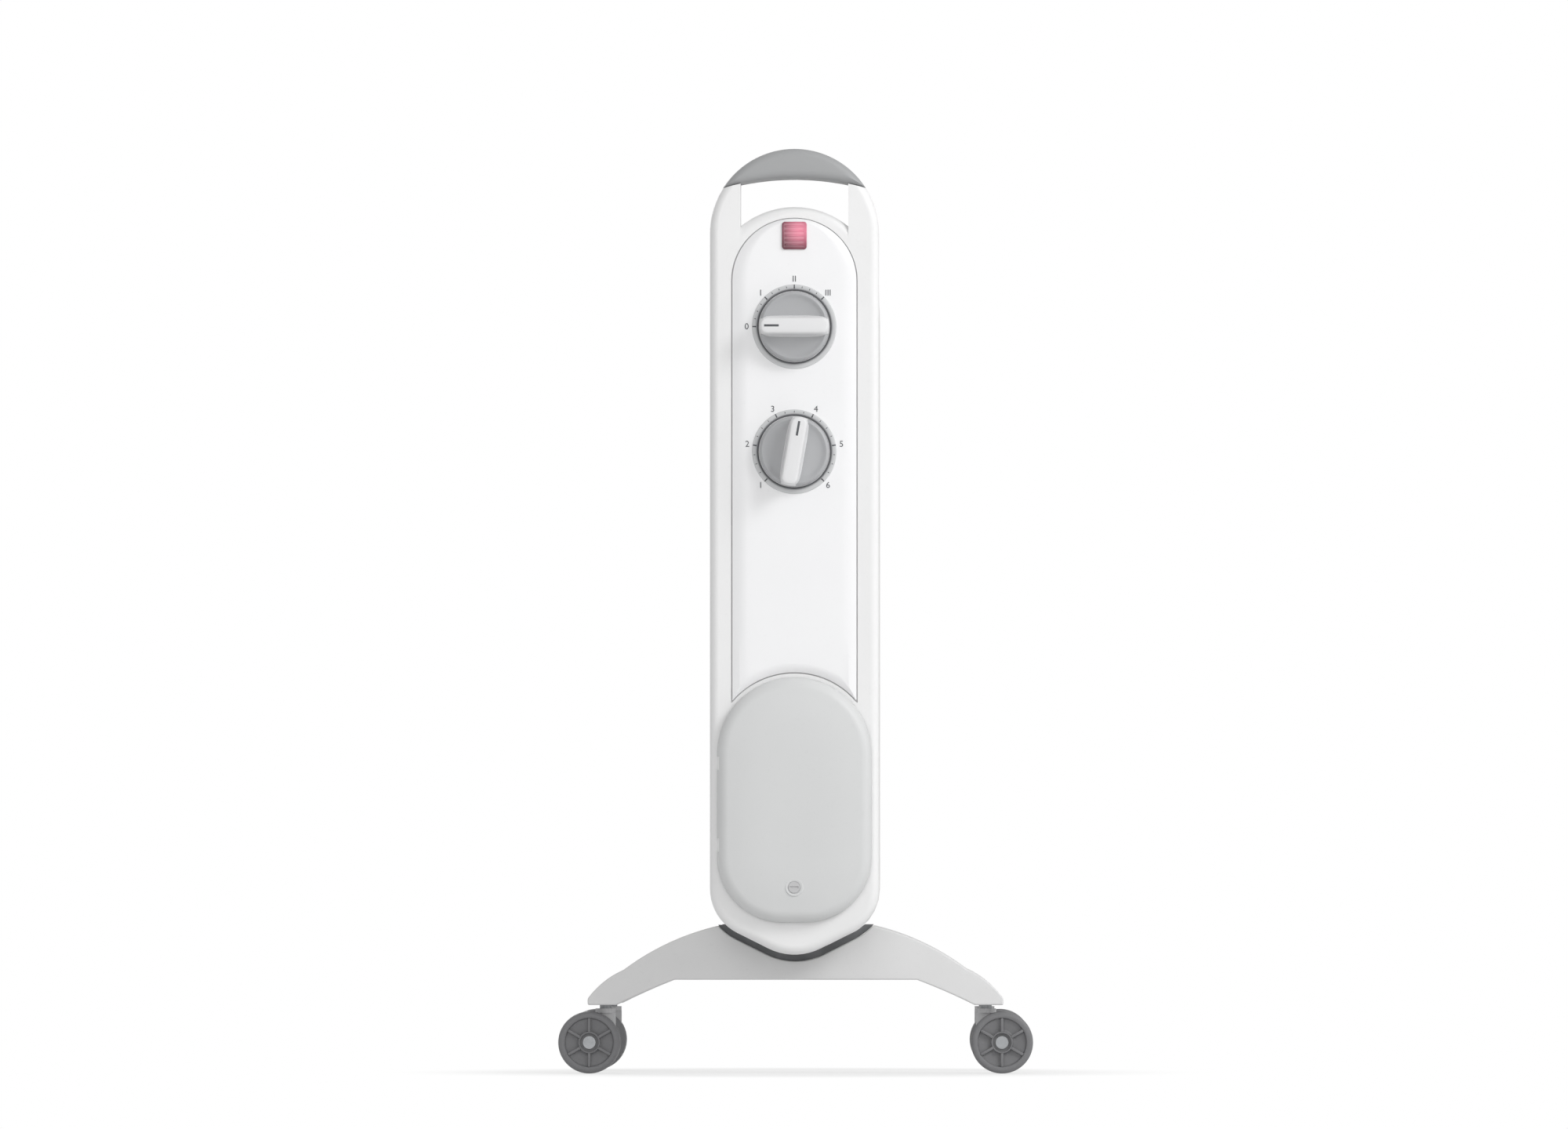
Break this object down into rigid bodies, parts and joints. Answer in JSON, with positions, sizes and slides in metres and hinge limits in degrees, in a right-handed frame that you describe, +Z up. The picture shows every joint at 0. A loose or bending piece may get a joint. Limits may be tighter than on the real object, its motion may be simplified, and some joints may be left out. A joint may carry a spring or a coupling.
{
  "type": "oil-filled electric radiator",
  "caption": "Free-standing oil-filled electric radiator: pressed steel fins on arched castored feet, end control housing with knobs, pilot lamp, grey handle and cord store cover.",
  "frame": {"origin": "middle of the floor area that the heater covers, at floor level", "axes": "+Z up, -Y towards the user at the control end, X across the fins"},
  "size_m": [0.329, 0.3928, 0.636],
  "materials": {
    "fin_enamel": "white stove enamel, semi-gloss",
    "steel_bright": "zinc-plated, satin",
    "element_steel": "drawn tube, dull",
    "gasket": "fibre gasket",
    "shield_steel": "plain sheet",
    "cutout_case": "black phenolic",
    "terminal_plastic": "natural nylon",
    "housing_white": "moulded, fine satin",
    "panel_white": "moulded, semi-gloss",
    "handle_grey": "fine grain",
    "cover_grey": "fine grain",
    "foot_grey": "fine grain",
    "pad_grey": "soft, matte",
    "lamp_red": "transparent red, moulded facets",
    "dial_grey": "printed scale",
    "knob_grey": "satin",
    "shaft_metal": "turned",
    "tray_grey": "fine grain",
    "gland_black": "soft, matte",
    "wire_sheath": "silicone sheath",
    "pendulum_metal": "turned",
    "hood_grey": "satin",
    "wheel_grey": "satin nylon"
  },
  "bodies": {
    "radiator": {"fin_1": "fin_enamel", "fin_2": "fin_enamel", "fin_3": "fin_enamel", "fin_4": "fin_enamel", "fin_5": "fin_enamel", "fin_6": "fin_enamel", "fin_7": "fin_enamel", "collector_nipples": "fin_enamel", "oil_filler_plug": "steel_bright", "heating_element": "element_steel", "element_gasket": "gasket", "heat_shield": "shield_steel", "thermal_cutout": "cutout_case", "terminal_block": "terminal_plastic", "tilt_switch_case": "terminal_plastic", "control_housing": "housing_white", "housing_screws": "steel_bright", "handle": "handle_grey", "handle_mounts": "housing_white", "handle_screws": "steel_bright", "wiring": "wire_sheath", "front_panel": "panel_white", "lamp_lens": "lamp_red", "lamp_holder": "cutout_case", "selector_dial": "dial_grey", "selector_switch": "cutout_case", "thermostat_dial": "dial_grey", "room_thermostat": "cutout_case", "cord_store_tray": "tray_grey", "cover_hinge_pins": "steel_bright", "cord_gland": "gland_black", "front_foot": "foot_grey", "front_saddle_pad": "pad_grey", "rear_foot": "foot_grey", "rear_saddle_pad": "pad_grey", "u_bolts": "steel_bright", "wing_nuts": "steel_bright"},
    "heat_selector": {"selector_knob": "knob_grey", "selector_shaft": "shaft_metal"},
    "thermostat_control": {"thermostat_knob": "knob_grey", "thermostat_shaft": "shaft_metal"},
    "store_cover": {"cord_store_cover": "cover_grey"},
    "cover_lock": {"cover_lock": "knob_grey"},
    "tilt_pendulum": {"tilt_pendulum": "pendulum_metal"},
    "castor_front_left_swivel": {"castor_front_left_hood": "hood_grey", "castor_front_left_stem_and_axle": "steel_bright"},
    "castor_front_left_wheel_a": {"castor_front_left_wheel_a": "wheel_grey"},
    "castor_front_left_wheel_b": {"castor_front_left_wheel_b": "wheel_grey"},
    "castor_front_right_swivel": {"castor_front_right_hood": "hood_grey", "castor_front_right_stem_and_axle": "steel_bright"},
    "castor_front_right_wheel_a": {"castor_front_right_wheel_a": "wheel_grey"},
    "castor_front_right_wheel_b": {"castor_front_right_wheel_b": "wheel_grey"},
    "castor_rear_left_swivel": {"castor_rear_left_hood": "hood_grey", "castor_rear_left_stem_and_axle": "steel_bright"},
    "castor_rear_left_wheel_a": {"castor_rear_left_wheel_a": "wheel_grey"},
    "castor_rear_left_wheel_b": {"castor_rear_left_wheel_b": "wheel_grey"},
    "castor_rear_right_swivel": {"castor_rear_right_hood": "hood_grey", "castor_rear_right_stem_and_axle": "steel_bright"},
    "castor_rear_right_wheel_a": {"castor_rear_right_wheel_a": "wheel_grey"},
    "castor_rear_right_wheel_b": {"castor_rear_right_wheel_b": "wheel_grey"}
  },
  "joints": [
    {"name": "heat_selector_turn", "type": "hinge", "parent": "radiator", "child": "heat_selector", "pos_m": [0, -0.1736, 0.5135], "axis": [0, 1, 0], "range_deg": [0, 135]},
    {"name": "thermostat_turn", "type": "hinge", "parent": "radiator", "child": "thermostat_control", "pos_m": [0, -0.1736, 0.4277], "axis": [0, 1, 0], "range_deg": [-145, 125]},
    {"name": "store_cover_swing", "type": "hinge", "parent": "radiator", "child": "store_cover", "pos_m": [-0.05, -0.1758, 0.186], "axis": [0, 0, -1], "range_deg": [0, 105]},
    {"name": "cover_lock_turn", "type": "hinge", "parent": "store_cover", "child": "cover_lock", "pos_m": [0, -0.1706, 0.129], "axis": [0, 1, 0], "range_deg": [0, 180]},
    {"name": "tilt_pendulum_swing", "type": "hinge", "parent": "radiator", "child": "tilt_pendulum", "pos_m": [-0.026, -0.1016, 0.341], "axis": [0, 1, 0], "range_deg": [-14, 14]},
    {"name": "castor_front_left_swivel_turn", "type": "hinge", "parent": "radiator", "child": "castor_front_left_swivel", "pos_m": [-0.132, -0.0506, 0.043], "axis": [0, 0, 1], "continuous": true},
    {"name": "castor_front_left_wheel_a_roll", "type": "hinge", "parent": "castor_front_left_swivel", "child": "castor_front_left_wheel_a", "pos_m": [-0.143, -0.0506, 0.0215], "axis": [0, 1, 0], "continuous": true},
    {"name": "castor_front_left_wheel_b_roll", "type": "hinge", "parent": "castor_front_left_swivel", "child": "castor_front_left_wheel_b", "pos_m": [-0.143, -0.0506, 0.0215], "axis": [0, 1, 0], "continuous": true},
    {"name": "castor_front_right_swivel_turn", "type": "hinge", "parent": "radiator", "child": "castor_front_right_swivel", "pos_m": [0.132, -0.0506, 0.043], "axis": [0, 0, 1], "continuous": true},
    {"name": "castor_front_right_wheel_a_roll", "type": "hinge", "parent": "castor_front_right_swivel", "child": "castor_front_right_wheel_a", "pos_m": [0.143, -0.0506, 0.0215], "axis": [0, 1, 0], "continuous": true},
    {"name": "castor_front_right_wheel_b_roll", "type": "hinge", "parent": "castor_front_right_swivel", "child": "castor_front_right_wheel_b", "pos_m": [0.143, -0.0506, 0.0215], "axis": [0, 1, 0], "continuous": true},
    {"name": "castor_rear_left_swivel_turn", "type": "hinge", "parent": "radiator", "child": "castor_rear_left_swivel", "pos_m": [-0.132, 0.1594, 0.043], "axis": [0, 0, 1], "continuous": true},
    {"name": "castor_rear_left_wheel_a_roll", "type": "hinge", "parent": "castor_rear_left_swivel", "child": "castor_rear_left_wheel_a", "pos_m": [-0.143, 0.1594, 0.0215], "axis": [0, 1, 0], "continuous": true},
    {"name": "castor_rear_left_wheel_b_roll", "type": "hinge", "parent": "castor_rear_left_swivel", "child": "castor_rear_left_wheel_b", "pos_m": [-0.143, 0.1594, 0.0215], "axis": [0, 1, 0], "continuous": true},
    {"name": "castor_rear_right_swivel_turn", "type": "hinge", "parent": "radiator", "child": "castor_rear_right_swivel", "pos_m": [0.132, 0.1594, 0.043], "axis": [0, 0, 1], "continuous": true},
    {"name": "castor_rear_right_wheel_a_roll", "type": "hinge", "parent": "castor_rear_right_swivel", "child": "castor_rear_right_wheel_a", "pos_m": [0.143, 0.1594, 0.0215], "axis": [0, 1, 0], "continuous": true},
    {"name": "castor_rear_right_wheel_b_roll", "type": "hinge", "parent": "castor_rear_right_swivel", "child": "castor_rear_right_wheel_b", "pos_m": [0.143, 0.1594, 0.0215], "axis": [0, 1, 0], "continuous": true}
  ]
}
